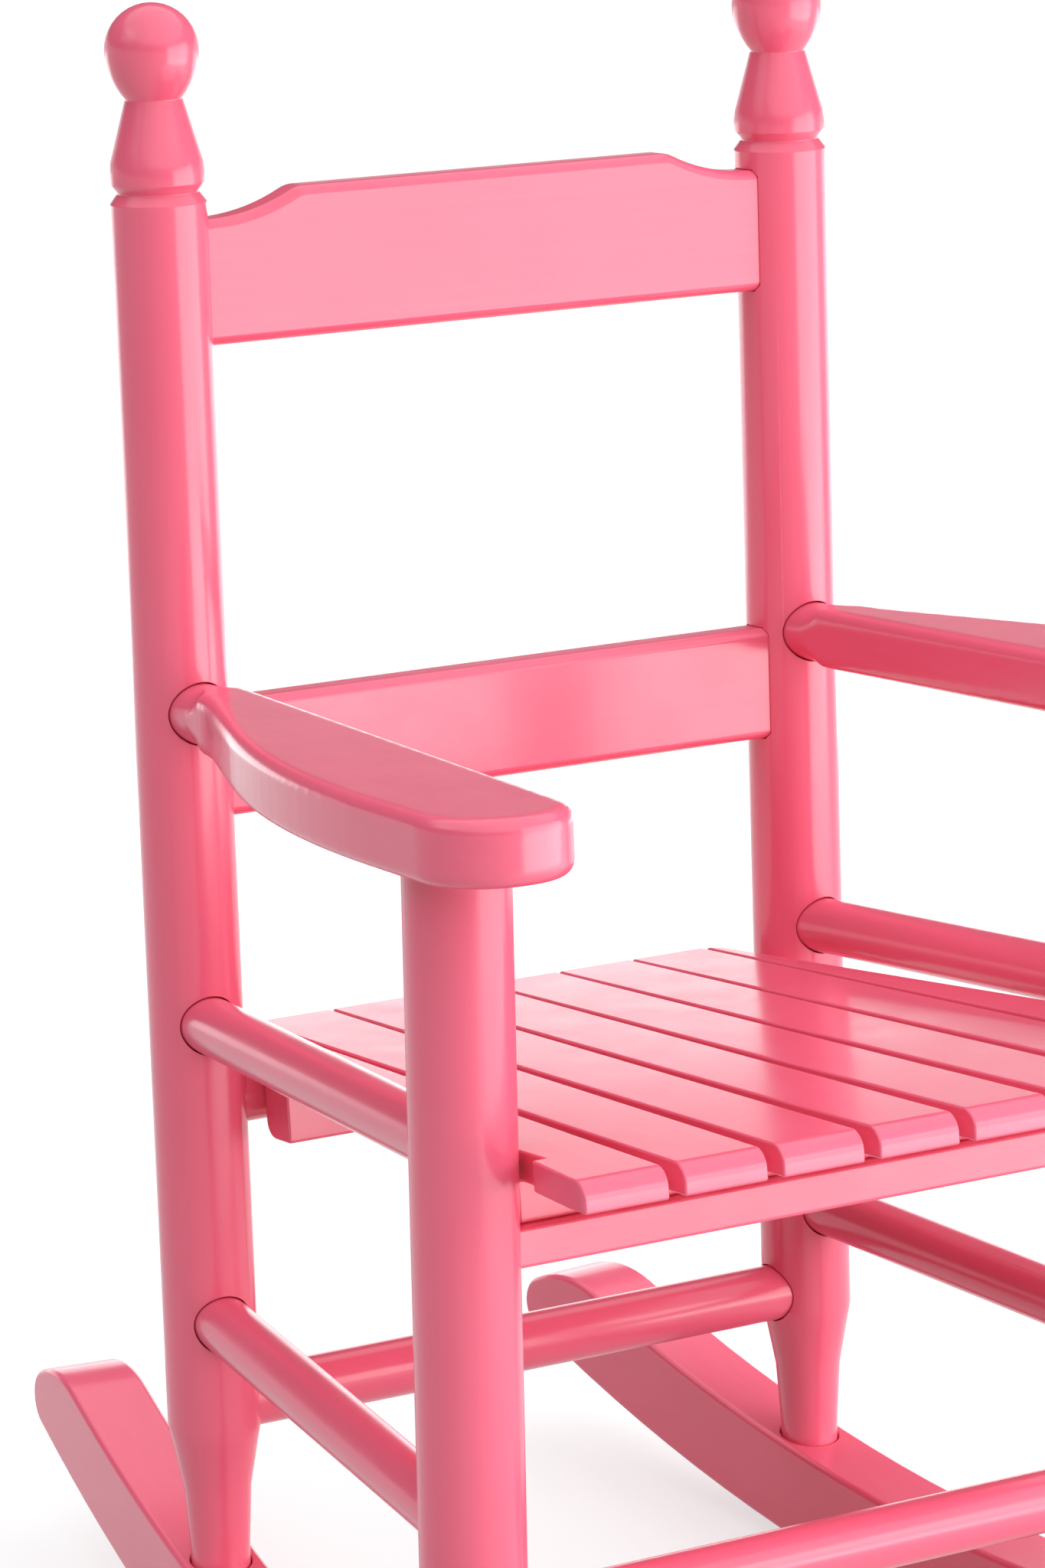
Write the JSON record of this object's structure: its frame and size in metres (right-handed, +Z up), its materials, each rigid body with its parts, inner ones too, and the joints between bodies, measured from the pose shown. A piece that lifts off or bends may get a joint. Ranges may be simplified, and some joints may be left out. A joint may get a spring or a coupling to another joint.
{
  "type": "child rocking chair",
  "caption": "Small painted wooden rocking chair with turned ball-topped posts, round stretchers, a slatted sloping seat, flat swept arms and bent rockers.",
  "frame": {"origin": "on the floor, under the middle of the rockers' length and midway between the two sides", "axes": "+Z up, -Y the way the chair faces, +X towards the sitter's left"},
  "size_m": [0.3492, 0.4771, 0.5718],
  "materials": {
    "pink_paint": "satin gloss paint on wood"
  },
  "bodies": {
    "root": {"arm_left": "pink_paint", "arm_right": "pink_paint", "back_post_left": "pink_paint", "back_post_right": "pink_paint", "crest_rail": "pink_paint", "front_post_left": "pink_paint", "front_post_right": "pink_paint", "front_seat_cleat": "pink_paint", "front_seat_rail": "pink_paint", "front_stretcher": "pink_paint", "lower_back_slat": "pink_paint", "lower_side_stretcher_left": "pink_paint", "lower_side_stretcher_right": "pink_paint", "rear_seat_cleat": "pink_paint", "rear_seat_stretcher": "pink_paint", "rear_stretcher": "pink_paint", "rocker_left": "pink_paint", "rocker_right": "pink_paint", "seat_slat_1": "pink_paint", "seat_slat_2": "pink_paint", "seat_slat_3": "pink_paint", "seat_slat_4": "pink_paint", "seat_slat_5": "pink_paint", "seat_slat_6": "pink_paint", "seat_slat_7": "pink_paint", "seat_slat_8": "pink_paint", "upper_side_stretcher_left": "pink_paint", "upper_side_stretcher_right": "pink_paint"}
  },
  "joints": []
}
